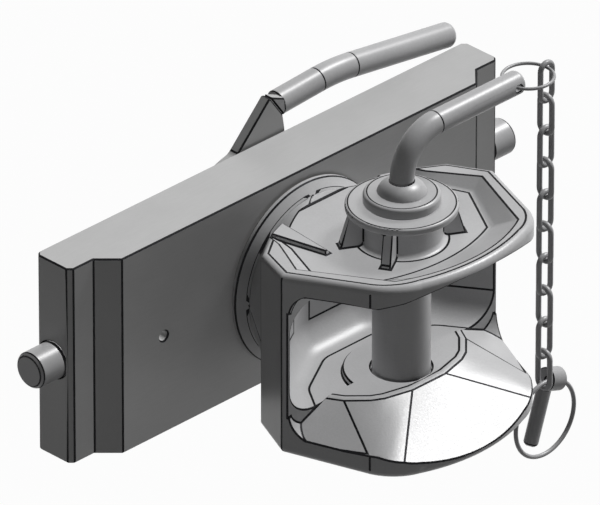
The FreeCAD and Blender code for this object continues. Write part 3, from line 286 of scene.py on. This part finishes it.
FINISHES = {
    "cast": {"name": "cast_steel_finish", "colour": "cast", "grain": 700.0, "rough": 0.36,
             "spread": 0.05, "relief": 0.12 * MM},
    "plate": {"name": "plate_steel_finish", "colour": "plate", "grain": 90.0, "rough": 0.42,
              "stretch": (1.0, 14.0, 14.0), "spread": 0.045, "relief": 0.05 * MM},
    "pin": {"name": "pin_steel_finish", "colour": "pin", "grain": 60.0, "rough": 0.36,
            "stretch": (3.0, 3.0, 40.0), "spread": 0.05, "relief": 0.03 * MM},
    "cross_pin": {"name": "cross_pin_finish", "colour": "pin", "grain": 60.0, "rough": 0.36,
                  "stretch": (40.0, 3.0, 3.0), "spread": 0.05, "relief": 0.03 * MM},
    "rod": {"name": "rod_steel_finish", "colour": "pin", "grain": 500.0, "rough": 0.38,
            "spread": 0.06, "relief": 0.06 * MM},
    "chain": {"name": "chain_steel_finish", "colour": "chain", "grain": 900.0, "rough": 0.36,
              "spread": 0.10, "relief": 0.05 * MM},
    "weld": {"name": "weld_finish", "colour": "cast", "darker": 0.15, "grain": 320.0, "rough": 0.5,
             "spread": 0.15, "relief": 0.3 * MM},
    "bronze": {"name": "bronze_finish", "colour": "bronze", "grain": 400.0, "rough": 0.35,
               "spread": 0.08, "relief": 0.03 * MM},
    "spring": {"name": "spring_finish", "colour": "chain", "darker": 0.4, "grain": 600.0, "rough": 0.35,
               "spread": 0.10, "relief": 0.08 * MM},
}


def material(word):
    """A finish by its word, made the first time it is asked for."""
    finish = FINISHES[word]
    return bpy.data.materials.get(finish["name"]) or steel(**finish)


def broad_faces(bm):
    """The number of each face's broad flat area, or -1 for a face in none, such as a curve's facet."""
    area_of = {}
    for start in bm.faces:
        if start in area_of:
            continue
        group, rim = [start], 0.0
        area_of[start] = start.index
        for face in group:
            for edge in face.edges:
                others = [f for f in edge.link_faces if f is not face]
                if len(others) != 1 or face.normal.angle(others[0].normal, 1.0) > FLAT_ANGLE:
                    rim += edge.calc_length()
                elif others[0] not in area_of:
                    area_of[others[0]] = start.index
                    group.append(others[0])
        if 4 * sum(f.calc_area() for f in group) < BROAD * rim:
            for face in group:
                area_of[face] = -1
    return area_of


def on_ring(edge, rings):
    """Whether an edge lies in the plane of one of the rings."""
    return any(
        all(abs((vert.co - place).dot(way)) < RING_REACH for vert in edge.verts) for place, way in rings)


def line_edges(bm, rings):
    """The edges drawn dark: sharp ones, borders of broad flat areas and of the lip, and rings round a bar."""
    bm.normal_update()
    bm.faces.index_update()
    area_of = broad_faces(bm)
    zone = bm.faces.layers.int.get("zone")
    found = []
    for edge in bm.edges:
        if not edge.is_manifold:
            continue
        zones = {f[zone] for f in edge.link_faces} if zone else {0}
        if LIP in zones or 0 not in zones:
            if LIP in zones and len(zones) > 1:
                found.append(edge)
            continue
        first, second = edge.link_faces
        if any(area_of[f] < 0 and 2 * f.calc_area() < SLIVER * edge.calc_length() for f in (first, second)):
            continue
        turn = edge.calc_face_angle()
        borders = area_of[first] != area_of[second] and turn > TANGENT_ANGLE
        if turn > LINE_ANGLE or borders or on_ring(edge, rings):
            found.append(edge)
    return found


def broken(bm, edges, width, steps):
    """Breaks edges with a chamfer or, in more steps, a rounding, and returns its faces."""
    return bmesh.ops.bevel(
        bm, geom=edges, offset=width, offset_type="WIDTH", affect="EDGES", segments=steps,
        profile=0.5, material=-1, clamp_overlap=False)["faces"]


def outlined(bm, width, rings):
    """Breaks the drawn edges with a narrow chamfer in the dark edge colour that stays on the old surface."""
    layer = bm.faces.layers.float.new("edge")
    drawn = line_edges(bm, rings)
    if not drawn:
        return
    surface = BVHTree.FromBMesh(bm)
    for face in broken(bm, drawn, width, 1):
        face[layer] = 1.0
    for vert in bm.verts:
        vert.co = surface.find_nearest(vert.co)[0]


def shaded(bm):
    """Smooth shading, with sharp edges and the sides of the dark lines left sharp."""
    bm.normal_update()
    layer = bm.faces.layers.float.get("edge")
    for face in bm.faces:
        face.smooth = True
    for edge in bm.edges:
        beside_line = layer and any(f[layer] > 0 for f in edge.link_faces)
        edge.smooth = not beside_line and edge.is_manifold and edge.calc_face_angle() < SMOOTH_ANGLE


def piece(name, bm, body, node, finish, width, rings=()):
    """Ends one piece: welded points, outward faces, dark edges, finish, body and the node it replaces."""
    bmesh.ops.remove_doubles(bm, verts=bm.verts, dist=WELD_GAP)
    bmesh.ops.recalc_face_normals(bm, faces=bm.faces)
    if width > 0:
        outlined(bm, width, rings)
    shaded(bm)
    mesh = bpy.data.meshes.new(name)
    bm.to_mesh(mesh)
    bm.free()
    made = bpy.data.objects.new(name, mesh)
    bpy.context.scene.collection.objects.link(made)
    made.data.materials.append(material(finish))
    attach(made, body)
    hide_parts(node)
    return made


def welded_copy(node):
    """The CAD node's own shape, its loose triangles joined and its flat faces made whole."""
    bm = bmesh.new()
    bm.from_mesh(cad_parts[node].data)
    bmesh.ops.remove_doubles(bm, verts=bm.verts, dist=WELD_GAP)
    bmesh.ops.dissolve_degenerate(bm, edges=bm.edges, dist=WELD_GAP)
    bmesh.ops.join_triangles(
        bm, faces=bm.faces, angle_face_threshold=FLAT_ANGLE, angle_shape_threshold=math.pi)
    return bm


def carried_over(node, body, finish, width, rings=()):
    """A piece whose form is the CAD node's, with its edges broken."""
    return piece(node + "_shape", welded_copy(node), body, node, finish, width, rings)


def slope_turn(face):
    """How far a slope of the jaw's mouth is turned from the front to its side, or None for any other face."""
    normal, middle = face.normal, face.calc_center_median()
    inward = middle.z * normal.z < 0 and SLOPE_STEEP < abs(normal.z) < SLOPE_LEVEL
    if not inward or normal.y > 0 or middle.y > MOUTH_BACK or abs(middle.z) > MOUTH_HALF:
        return None
    return math.atan2(math.copysign(normal.x, normal.x * middle.x), -normal.y)


def is_ledge(face):
    """Whether a face is one of the small level ledges at the feet of the mouth's corners."""
    level = abs(face.normal.z) > SLOPE_LEVEL and face.calc_area() < LEDGE_AREA
    return level and face.calc_center_median().y < LEDGE_BACK


def corner_zones(bm):
    """Numbers the faces of the mouth's four corners, and returns the broad slopes that each corner joins."""
    bm.normal_update()
    zone = bm.faces.layers.int.new("zone")
    joined = {corner: {} for corner in (1, 2, 3, 4)}
    marked = []
    for face in bm.faces:
        turn = slope_turn(face)
        if turn is None:
            continue
        middle, area = face.calc_center_median(), face.calc_area()
        left = 3 if middle.z > 0 else 1
        own = left + (middle.x > 0)
        if NOSE_TURN < turn < SIDE_TURN:
            face[zone] = own
            marked.append(face)
            continue
        part, corners = ("side", (own,)) if turn > SIDE_TURN else ("front", (left, left + 1))
        for corner in corners:
            if part not in joined[corner] or area > joined[corner][part][2]:
                joined[corner][part] = (middle, face.normal.copy(), area)
    for face in marked:
        for other in (f for edge in face.edges for f in edge.link_faces if not f[zone]):
            if is_ledge(other):
                other[zone] = face[zone]
                marked.append(other)
    return joined


def rounded_lips(bm):
    """Rounds the edge between the mouth's level pads and its slopes, and numbers the faces of that lip."""
    bm.normal_update()
    zone = bm.faces.layers.int["zone"]
    lips = []
    for edge in (e for e in bm.edges if e.is_manifold):
        sloped = [f for f in edge.link_faces if slope_turn(f) is not None]
        level = [f for f in edge.link_faces if abs(f.normal.z) > PAD_LEVEL and f.calc_area() > LEDGE_AREA]
        if len(sloped) == 1 and len(level) == 1 and edge.calc_face_angle_signed() > 0:
            lips.append(edge)
    for face in broken(bm, lips, LIP_WIDTH, LIP_STEPS):
        face[zone] = LIP


def blended_normals(mesh, joined):
    """Turns the shading of each corner evenly from that of the front slope to that of the side slope."""
    zones, edges = mesh.attributes["zone"].data, mesh.attributes["edge"].data
    normals = [Vector()] * len(mesh.loops)
    for face in mesh.polygons:
        corner = zones[face.index].value
        if corner not in joined or edges[face.index].value > 0:
            continue
        front, front_normal, _ = joined[corner]["front"]
        side, side_normal, _ = joined[corner]["side"]
        for k in face.loop_indices:
            place = mesh.vertices[mesh.loops[k].vertex_index].co
            from_front = abs((place - front).dot(front_normal))
            from_side = abs((place - side).dot(side_normal))
            share = from_front / max(from_front + from_side, WELD_GAP)
            normals[k] = front_normal.lerp(side_normal, share).normalized()
    mesh.normals_split_custom_set(normals)


def bend_rings(points, bend):
    """Where the bends of a bar start and end, as places and directions along it."""
    points = [Vector(p) * MM for p in points]
    ways = [(b - a).normalized() for a, b in zip(points, points[1:])]
    found = []
    for corner, into, out in zip(points[1:], ways, ways[1:]):
        trim = bend * MM * math.tan(into.angle(out) / 2)
        found += [(corner - into * trim, into), (corner + out * trim, out)]
    return found


def along(axis):
    """The turn that lays the Z axis along another axis."""
    return Z.rotation_difference(axis).to_matrix().to_4x4()


def ring_of_points(bm, centre, normal, radius):
    """A circle of edges, ready to be swept."""
    matrix = Matrix.Translation(centre) @ along(normal)
    made = bmesh.ops.create_circle(bm, cap_ends=False, segments=WIRE_STEPS, radius=radius, matrix=matrix)
    edges = {e for v in made["verts"] for e in v.link_edges}
    return list(made["verts"]), list(edges)


def split_geometry(items):
    """The vertices and the edges of an operator's result."""
    verts = [g for g in items if isinstance(g, bmesh.types.BMVert)]
    edges = [g for g in items if isinstance(g, bmesh.types.BMEdge)]
    return verts, edges


def pushed(bm, loop, way):
    """Sweeps a ring of edges straight, and returns its far end."""
    made = bmesh.ops.extrude_edge_only(bm, edges=loop[1])
    verts, edges = split_geometry(made["geom"])
    bmesh.ops.translate(bm, verts=verts, vec=way)
    return verts, edges


def swung(bm, loop, centre, axis, angle, steps):
    """Sweeps a ring of edges round an axis, and returns its far end."""
    made = bmesh.ops.spin(
        bm, geom=loop[0] + loop[1], cent=centre, axis=axis, angle=angle, steps=steps, use_merge=False)
    return split_geometry(made["geom_last"])


def wire_circle(centre, normal, radius, wire):
    """A closed ring of round wire."""
    bm = bmesh.new()
    across = along(normal) @ X
    loop = ring_of_points(bm, centre + across * radius, normal.cross(across), wire)
    bmesh.ops.spin(
        bm, geom=loop[0] + loop[1], cent=centre, axis=normal, angle=math.tau, steps=TURN_STEPS,
        use_merge=True)
    return bm


def link(low, high, wide, wire):
    """One round chain link, long way up, in the plane of its wide axis: two bows and two straight sides."""
    bm = bmesh.new()
    middle = (low + high) / 2
    bow = (high - low).dot(wide) / 2 - wire
    top = Vector((middle.x, middle.y, high.z - wire - bow))
    bottom = Vector((middle.x, middle.y, low.z + wire + bow))
    axis = wide.cross(Z)
    loop = ring_of_points(bm, top + wide * bow, Z, wire)
    loop = swung(bm, loop, top, axis, math.pi, BOW_STEPS)
    loop = pushed(bm, loop, bottom - top)
    loop = swung(bm, loop, bottom, axis, math.pi, BOW_STEPS)
    pushed(bm, loop, top - bottom)
    return bm


class ClevisStage(bpy.types.Operator):
    """Floor, light and the camera at the photograph's viewing angle"""

    bl_idname = "clevis.stage"
    bl_label = "Stage"

    def execute(self, context):
        self.floor(context)
        self.lamps(context)
        self.surround(context)
        self.camera(context)
        return {"FINISHED"}

    def floor(self, context):
        """A floor that looks white and takes the object's shadow, and sends little light back."""
        shop = Shop(bpy.data.materials.new("pale_floor"))
        shadowed = shop.node("ShaderNodeBsdfDiffuse", {}, {"Color": FLOOR_GREY})
        white = shop.node("ShaderNodeEmission", {}, {"Color": WHITE, "Strength": 1.0})
        bare = shop.in_view() * FLOOR_WHITE_SHARE
        surface = shop.node("ShaderNodeMixShader", {}, {0: bare, 1: shadowed, 2: white})
        shop.node("ShaderNodeOutputMaterial", {}, {"Surface": surface})
        bm = bmesh.new()
        height = CAD_BOX[0][2] - context.scene.clevis_sizes.floor_gap
        bmesh.ops.create_grid(
            bm, x_segments=1, y_segments=1, size=FLOOR_HALF, matrix=Matrix.Translation((0, 0, height)))
        mesh = bpy.data.meshes.new("floor")
        bm.to_mesh(mesh)
        bm.free()
        floor = bpy.data.objects.new("floor", mesh)
        context.scene.collection.objects.link(floor)
        mesh.materials.append(shop.owner)

    def lamps(self, context):
        """A key lamp high on the right, and a stronger one without shadow, so that the mouth stays bright."""
        toward = Vector(SUN_DIRECTION).normalized()
        for name, energy, shadow in (("key", KEY_ENERGY, True), ("fill", FILL_ENERGY, False)):
            sun = bpy.data.objects.new(name, bpy.data.lights.new(name, "SUN"))
            sun.data.energy = energy
            sun.data.angle = SUN_ANGLE
            sun.data.use_shadow = shadow
            sun.rotation_euler = toward.to_track_quat("Z", "Y").to_euler()
            context.scene.collection.objects.link(sun)

    def surround(self, context):
        """A world that looks white and gives hardly any light."""
        shop = Shop(bpy.data.worlds.new("surround"))
        context.scene.world = shop.owner
        dim = shop.node("ShaderNodeBackground", {}, {"Color": WHITE, "Strength": SURROUND_LIGHT})
        white = shop.node("ShaderNodeBackground", {}, {"Color": WHITE, "Strength": 1.0})
        surface = shop.node("ShaderNodeMixShader", {}, {0: shop.in_view(), 1: dim, 2: white})
        shop.node("ShaderNodeOutputWorld", {}, {"Surface": surface})

    def camera(self, context):
        """A long lens, because the photograph has no perspective to speak of."""
        level = Vector((math.sin(AZIMUTH), -math.cos(AZIMUTH), 0))
        back = level * math.cos(ELEVATION) + Z * math.sin(ELEVATION)
        right = Z.cross(level)
        up = back.cross(right)
        half_view = math.tan(VIEW_ANGLE / 2)
        distance = PIXELS_ACROSS / PIXELS_PER_MM * MM / 2 / half_view
        camera = bpy.data.objects.new("camera", bpy.data.cameras.new("camera"))
        camera.data.sensor_width = SENSOR
        camera.data.lens = SENSOR / 2 / half_view
        camera.data.clip_start = CLIP_START
        camera.data.clip_end = distance * 4
        camera.location = right * AIM_RIGHT - up * AIM_DOWN + back * distance
        camera.rotation_euler = back.to_track_quat("Z", "Y").to_euler()
        context.scene.collection.objects.link(camera)
        context.scene.camera = camera


class ClevisPlate(bpy.types.Operator):
    """The slide plate with its stepped end tongues"""

    bl_idname = "clevis.plate"
    bl_label = "Slide plate"

    def execute(self, context):
        width = context.scene.clevis_sizes.line_width
        carried_over("slide_plate", "plate", "plate", width)
        return {"FINISHED"}


class ClevisLocks(bpy.types.Operator):
    """The two sprung locking pins in the plate's ends, with their studs"""

    bl_idname = "clevis.locks"
    bl_label = "Locking pins"

    def execute(self, context):
        width = context.scene.clevis_sizes.round_line_width
        for side, seat in (("left", -SPRING_SEAT), ("right", SPRING_SEAT)):
            carried_over(side + "_lock_pin", side + "_lock", "cross_pin", width)
            carried_over(side + "_pin_stud", side + "_lock", "rod", width)
            coil = carried_over(side + "_lock_spring", "plate", "spring", 0)
            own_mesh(coil)
        return {"FINISHED"}


class ClevisJournal(bpy.types.Operator):
    """The bush, sleeve, washers, castle nut and cotter pin of the jaw's journal"""

    bl_idname = "clevis.journal"
    bl_label = "Journal stack"

    def execute(self, context):
        width = context.scene.clevis_sizes.round_line_width
        for node, body, slot, finish in (
                ("journal_bush", "plate", "bush_bronze", "bronze"),
                ("rotor_sleeve", "plate", "pin_steel", "rod"),
                ("friction_washer", "plate", "bush_bronze", "bronze"),
                ("thrust_washer", "jaw", "fastener_steel", "rod"),
                ("castle_nut", "jaw", "fastener_steel", "rod"),
                ("cotter_pin", "jaw", "fastener_steel", "chain")):
            carried_over(node, body, finish, width)
        return {"FINISHED"}


class ClevisLever(bpy.types.Operator):
    """The rotor plate, its hand rod and the weld between them"""

    bl_idname = "clevis.lever"
    bl_label = "Release lever"

    def execute(self, context):
        sizes = context.scene.clevis_sizes
        carried_over("rotor_plate", "lever", "plate", sizes.line_width)
        carried_over("lever_handle", "lever", "rod", sizes.round_line_width,
                     rings=bend_rings(LEVER_PATH, LEVER_BEND))
        carried_over("lever_weld", "lever", "weld", sizes.line_width)
        return {"FINISHED"}


class ClevisJaw(bpy.types.Operator):
    """The jaw casting and the bushes of its coupling pin"""

    bl_idname = "clevis.jaw"
    bl_label = "Jaw"

    def execute(self, context):
        sizes = context.scene.clevis_sizes
        casting = welded_copy("jaw")
        joined = corner_zones(casting)
        rounded_lips(casting)
        made = piece("jaw_shape", casting, "jaw", "jaw", "cast", sizes.line_width)
        blended_normals(made.data, joined)
        for node in ("upper_pin_bush", "lower_pin_bush"):
            carried_over(node, "jaw", "pin", sizes.round_line_width)
        return {"FINISHED"}


class ClevisCouplingPin(bpy.types.Operator):
    """The coupling pin with its cap, weld collar and bent hand rod"""

    bl_idname = "clevis.coupling_pin"
    bl_label = "Coupling pin"

    def execute(self, context):
        width = context.scene.clevis_sizes.round_line_width
        carried_over("coupling_pin", "coupling_pin", "pin", width)
        carried_over("pin_cap", "coupling_pin", "pin", width)
        carried_over("handle_collar", "coupling_pin", "rod", width)
        carried_over("pin_handle", "coupling_pin", "rod", width,
                     rings=bend_rings(HANDLE_PATH, HANDLE_BEND))
        return {"FINISHED"}


class ClevisChain(bpy.types.Operator):
    """The wire ring in the handle and the links that hang from it"""

    bl_idname = "clevis.chain"
    bl_label = "Chain"

    def execute(self, context):
        low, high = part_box("wire_ring")
        wire = (high.z - low.z) / 2
        bm = wire_circle((low + high) / 2, Z, (high.x - low.x) / 2 - wire, wire)
        piece("wire_ring_wire", bm, "wire_ring", "wire_ring", "chain", 0)
        for name in sorted(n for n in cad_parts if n.startswith("chain_link_")):
            low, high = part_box(name)
            size = high - low
            wide, wire = (X, size.y / 2) if size.x > size.y else (Y, size.x / 2)
            piece(name + "_round", link(low, high, wide, wire), name, name, "chain", 0)
        return {"FINISHED"}


class ClevisLinch(bpy.types.Operator):
    """The linch pin on the chain's end, and its spring ring"""

    bl_idname = "clevis.linch"
    bl_label = "Linch pin"

    def execute(self, context):
        low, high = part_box("linch_ring")
        wire = (high.y - low.y) / 2
        bm = wire_circle((low + high) / 2, Y, (high.z - low.z) / 2 - wire, wire)
        piece("linch_ring_wire", bm, "linch_ring", "linch_ring", "chain", 0)
        width = context.scene.clevis_sizes.round_line_width
        carried_over("linch_pin", "linch_pin", "chain", width)
        return {"FINISHED"}


class ClevisPanel(bpy.types.Panel):
    """Lists the sizes, the colours and the pieces"""

    bl_idname = "VIEW3D_PT_clevis"
    bl_label = "Clevis head"
    bl_space_type = "VIEW_3D"
    bl_region_type = "UI"
    bl_category = "Clevis"

    def draw(self, context):
        for group in (context.scene.clevis_sizes, context.scene.clevis_colours):
            for word in group.__annotations__:
                self.layout.prop(group, word)
        for operator in OPERATORS:
            self.layout.operator(operator.bl_idname)


OPERATORS = (ClevisStage, ClevisPlate, ClevisLocks, ClevisJournal, ClevisLever, ClevisJaw,
             ClevisCouplingPin, ClevisChain, ClevisLinch)
CLASSES = (ClevisSizes, ClevisColours) + OPERATORS + (ClevisPanel,)


def register():
    """Adds the classes and their settings."""
    for item in CLASSES:
        bpy.utils.register_class(item)
    bpy.types.Scene.clevis_sizes = bpy.props.PointerProperty(type=ClevisSizes)
    bpy.types.Scene.clevis_colours = bpy.props.PointerProperty(type=ClevisColours)


def unregister():
    """Takes the classes and their settings away again."""
    del bpy.types.Scene.clevis_sizes
    del bpy.types.Scene.clevis_colours
    for item in reversed(CLASSES):
        bpy.utils.unregister_class(item)


def main():
    """Makes the whole scene, one operator after another."""
    register()
    bpy.context.scene.view_settings.view_transform = "Standard"
    bpy.ops.clevis.stage()
    bpy.ops.clevis.plate()
    bpy.ops.clevis.locks()
    bpy.ops.clevis.journal()
    bpy.ops.clevis.lever()
    bpy.ops.clevis.jaw()
    bpy.ops.clevis.coupling_pin()
    bpy.ops.clevis.chain()
    bpy.ops.clevis.linch()


if __name__ == "__main__":
    main()
